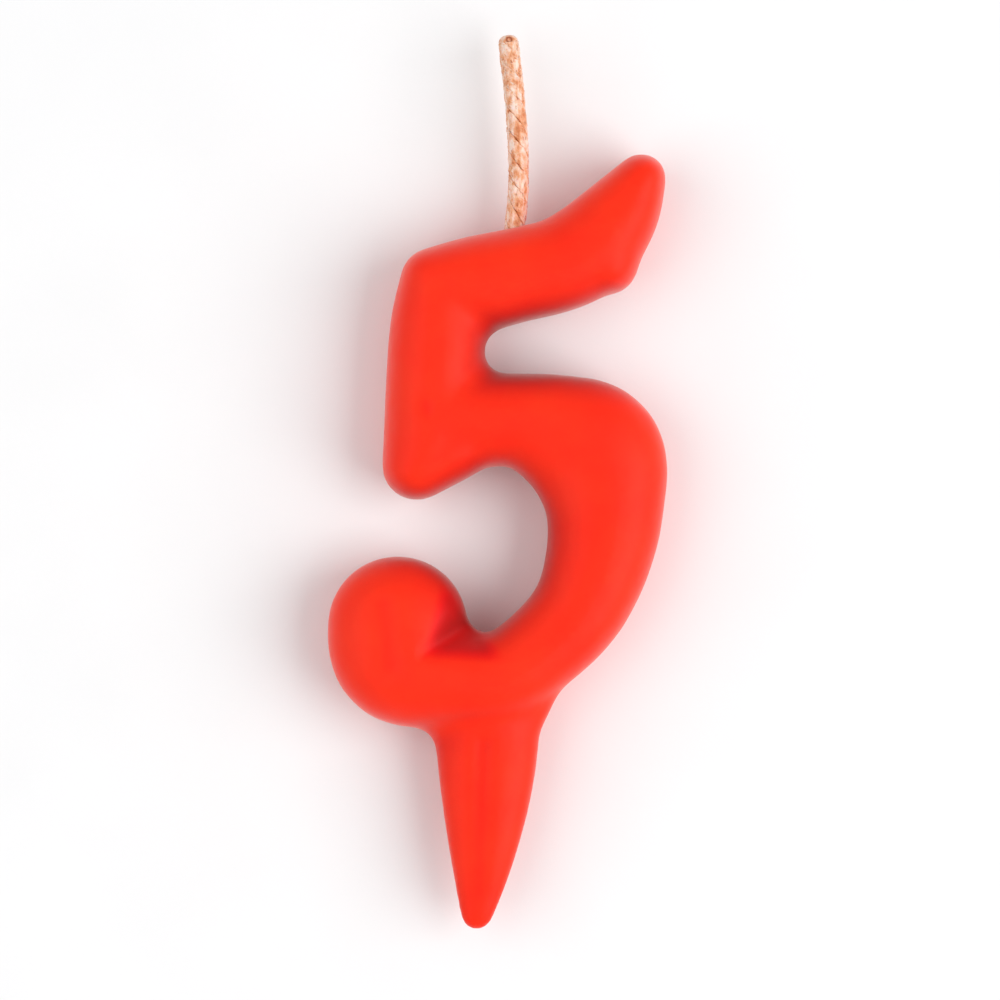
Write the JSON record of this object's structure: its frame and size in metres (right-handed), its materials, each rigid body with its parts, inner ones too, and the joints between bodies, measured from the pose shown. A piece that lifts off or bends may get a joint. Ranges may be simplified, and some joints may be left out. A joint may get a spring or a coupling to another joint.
{
  "type": "number birthday candle",
  "caption": "Red wax birthday candle shaped as a rounded five, with a twisted wick on top and a tapered wax spike for a cake.",
  "frame": {"origin": "on the flat back, below the middle of the whole candle's length and width", "axes": "+Y from the spike towards the wick, +X to the right seen from the front, +Z from the back to the front"},
  "size_m": [0.0341, 0.0896, 0.0105],
  "materials": {
    "cast_wax": "cast paraffin wax, pale and slightly clear",
    "red_wax": "dipped red wax, smooth with a soft gloss",
    "wick_cotton": "twisted cotton, waxed, beige with brown flecks",
    "wick_wax": "clear wax soaked into the wick's end"
  },
  "bodies": {
    "root": {"wax_core": "cast_wax", "colour_coat": "red_wax", "wick_strand_1": "wick_cotton", "wick_strand_2": "wick_cotton", "wick_strand_3": "wick_cotton", "wick_tip_wax": "wick_wax"}
  },
  "joints": []
}
